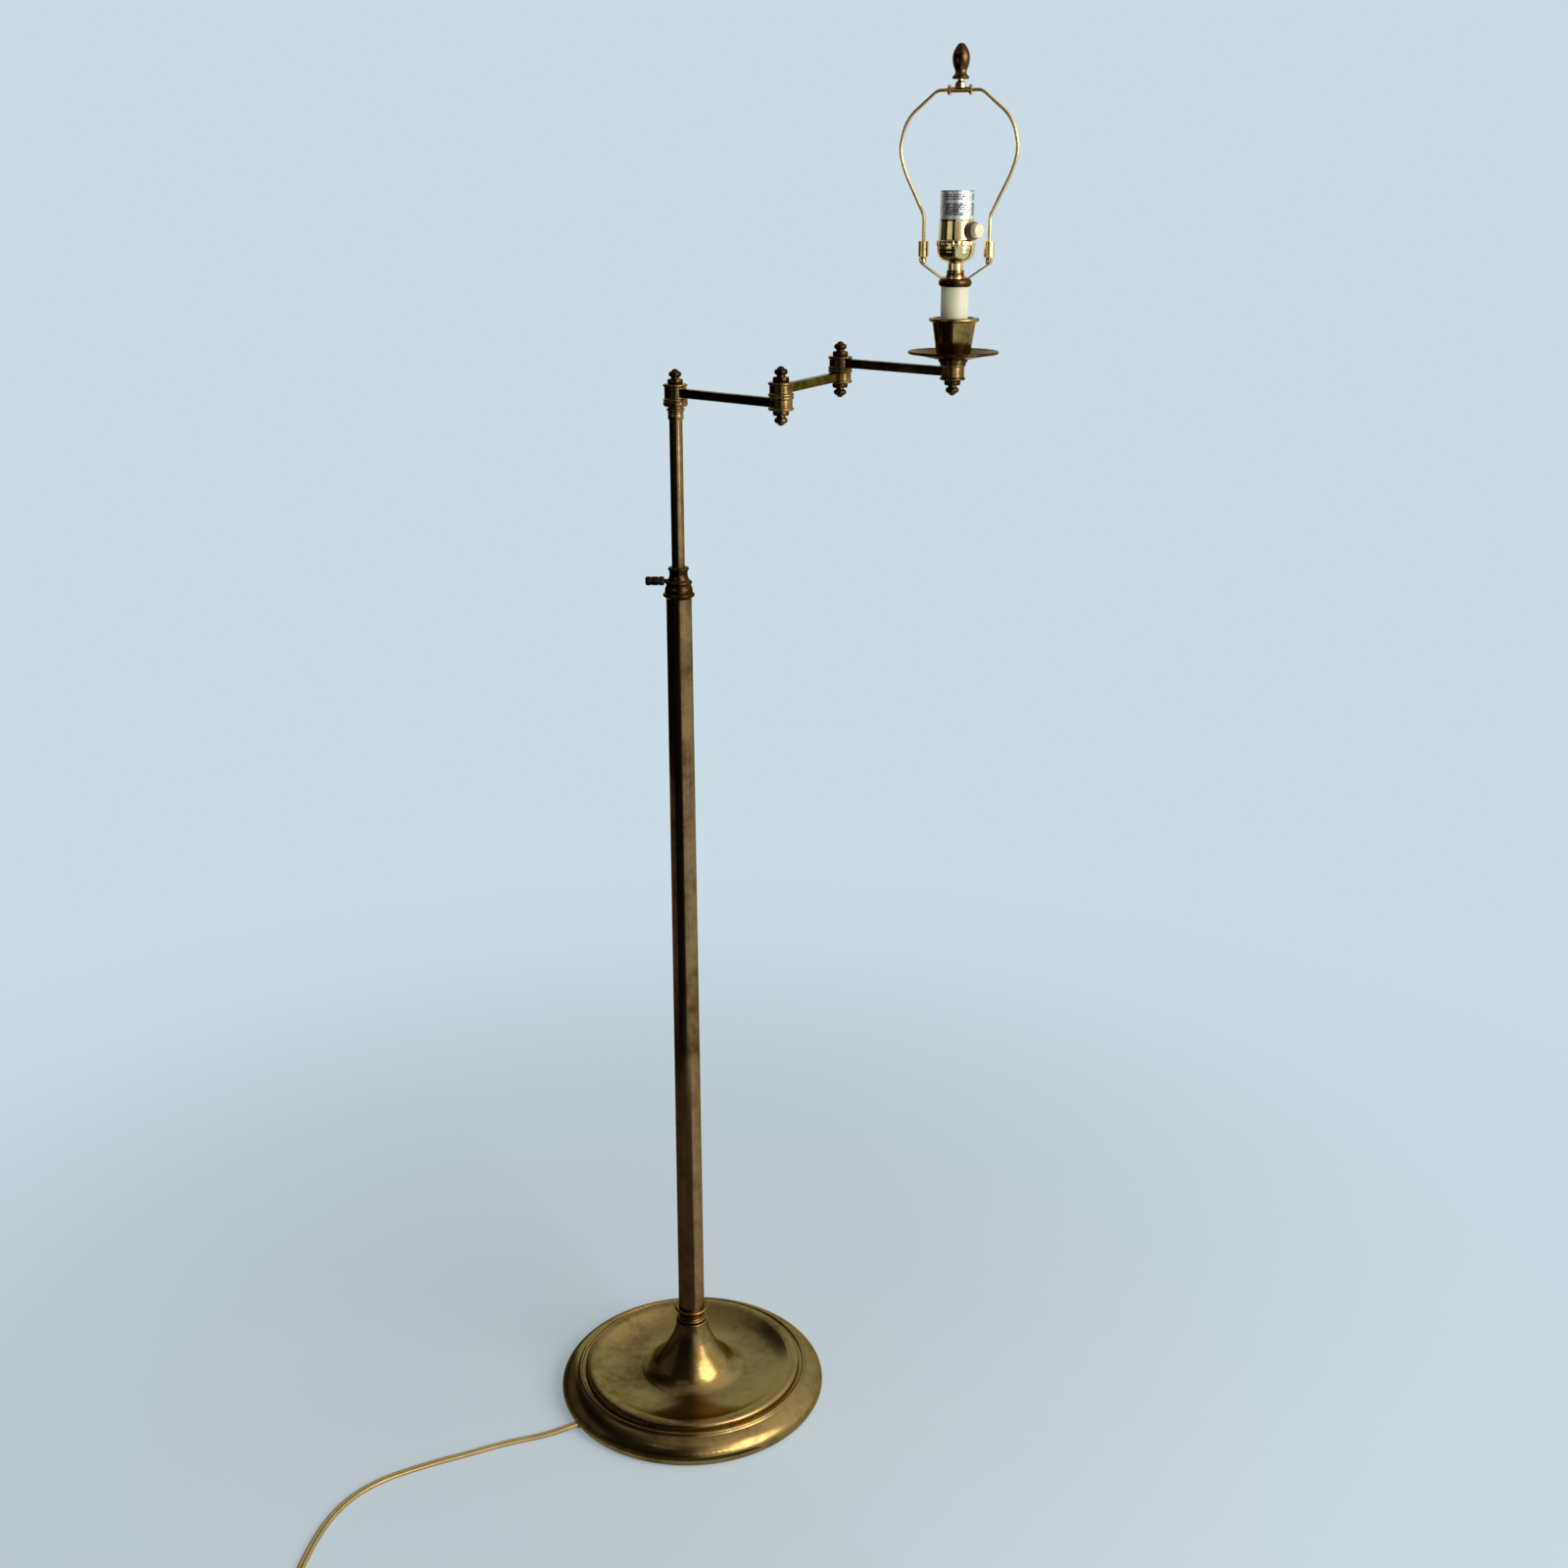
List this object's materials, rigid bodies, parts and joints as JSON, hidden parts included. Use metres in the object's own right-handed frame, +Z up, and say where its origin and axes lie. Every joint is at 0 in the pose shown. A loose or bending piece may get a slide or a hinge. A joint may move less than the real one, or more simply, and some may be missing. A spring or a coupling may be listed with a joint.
{
  "type": "bridge floor lamp",
  "caption": "Swing-arm bridge floor lamp: weighted round base, column, height-adjustable mast, jointed square arms and a candle-style socket with a harp.",
  "frame": {"origin": "centre of the felt pad's underside, on the floor", "axes": "+Z up along the column, +X towards the side the folded arms reach at rest, +Y away from the cord's side"},
  "size_m": [0.6573, 0.5635, 1.3543],
  "materials": {
    "antique_brass": "burnished antique brass, mottled",
    "brass_tube": "burnished brass tube",
    "brass_bar": "antique brass bar",
    "bright_brass": "polished brass",
    "cast_iron": "as cast",
    "steel": "zinc plated",
    "felt": "pressed felt",
    "nylon": "natural nylon",
    "ivory": "ivory candle sleeve",
    "insulator": "coated fibre paper",
    "dark_moulding": "moulded phenolic",
    "knob": "moulded knob",
    "cord_jacket": "translucent gold cord"
  },
  "bodies": {
    "stand": {"base_cover": "antique_brass", "base_weight": "cast_iron", "felt_pad": "felt", "base_nipple": "steel", "base_washer": "steel", "base_nut": "steel", "cord_bushing": "nylon", "neck_collar": "antique_brass", "foot_plug": "steel", "column_tube": "antique_brass", "collar_bush": "nylon", "lock_collar": "antique_brass", "inner_lead": "cord_jacket", "power_cord": "cord_jacket", "cord_coil": "cord_jacket", "plug_body": "cord_jacket", "plug_blades": "bright_brass"},
    "clamp_screw": {"clamp_screw": "antique_brass"},
    "mast": {"mast_tube": "brass_tube", "mast_guide": "nylon", "mast_fitting": "antique_brass", "shoulder_pivot": "steel", "shoulder_finial": "antique_brass"},
    "arm_1": {"shoulder_knuckle": "antique_brass", "arm_1_bar": "brass_bar", "elbow_1_lower_knuckle": "antique_brass", "elbow_1_pivot": "steel", "elbow_1_finials": "antique_brass", "elbow_1_washer": "nylon"},
    "arm_2": {"elbow_1_upper_knuckle": "antique_brass", "arm_2_bar": "brass_bar", "elbow_2_lower_knuckle": "antique_brass", "elbow_2_pivot": "steel", "elbow_2_finials": "antique_brass", "elbow_2_washer": "nylon"},
    "head": {"elbow_2_upper_knuckle": "antique_brass", "arm_3_bar": "brass_bar", "end_knuckle": "antique_brass", "end_finial": "antique_brass", "head_nipple": "steel", "drip_dish": "antique_brass", "candle_cup": "antique_brass", "candle_sleeve": "ivory", "sleeve_cap": "antique_brass", "harp_saddle": "bright_brass", "check_ring": "antique_brass", "socket_cap": "bright_brass", "socket_shell": "bright_brass", "socket_liner": "insulator", "socket_core": "dark_moulding", "screw_shell": "bright_brass", "centre_contact": "bright_brass", "switch_bush": "bright_brass"},
    "switch": {"switch_knob": "knob"},
    "harp": {"harp_wire": "bright_brass", "harp_bracket": "bright_brass"},
    "sleeve_left": {"left_sleeve": "bright_brass"},
    "sleeve_right": {"right_sleeve": "bright_brass"},
    "finial": {"harp_finial": "bright_brass"}
  },
  "joints": [
    {"name": "mast_slide", "type": "slide", "parent": "stand", "child": "mast", "axis": [0, 0, 1], "range_m": [-0.135, 0.2]},
    {"name": "clamp_screw_turn", "type": "hinge", "parent": "stand", "child": "clamp_screw", "pos_m": [-0.02, 0, 0.8876], "axis": [-1, 0, 0], "range_deg": [0, 540]},
    {"name": "shoulder_swing", "type": "hinge", "parent": "mast", "child": "arm_1", "pos_m": [0, 0, 1.06225], "axis": [0, 0, 1], "range_deg": [-170, 170]},
    {"name": "elbow_1_swing", "type": "hinge", "parent": "arm_1", "child": "arm_2", "pos_m": [0.09678, -0.09412, 1.06812], "axis": [0, 0, 1], "range_deg": [-190, 55]},
    {"name": "elbow_2_swing", "type": "hinge", "parent": "arm_2", "child": "head", "pos_m": [0.15148, 0.02931, 1.08028], "axis": [0, 0, 1], "range_deg": [-54, 170]},
    {"name": "switch_turn", "type": "hinge", "parent": "head", "child": "switch", "pos_m": [0.26137, -0.08, 1.20485], "axis": [0.7133, -0.7009, 0], "continuous": true},
    {"name": "harp_lift", "type": "slide", "parent": "head", "child": "harp", "axis": [0, 0, 1], "range_m": [0, 0.03]},
    {"name": "sleeve_left_lift", "type": "slide", "parent": "harp", "child": "sleeve_left", "axis": [0, 0, 1], "range_m": [0, 0.012]},
    {"name": "sleeve_right_lift", "type": "slide", "parent": "harp", "child": "sleeve_right", "axis": [0, 0, 1], "range_m": [0, 0.012]},
    {"name": "finial_turn", "type": "hinge", "parent": "harp", "child": "finial", "pos_m": [0.2471, -0.06599, 1.33615], "axis": [0, 0, 1], "continuous": true}
  ]
}
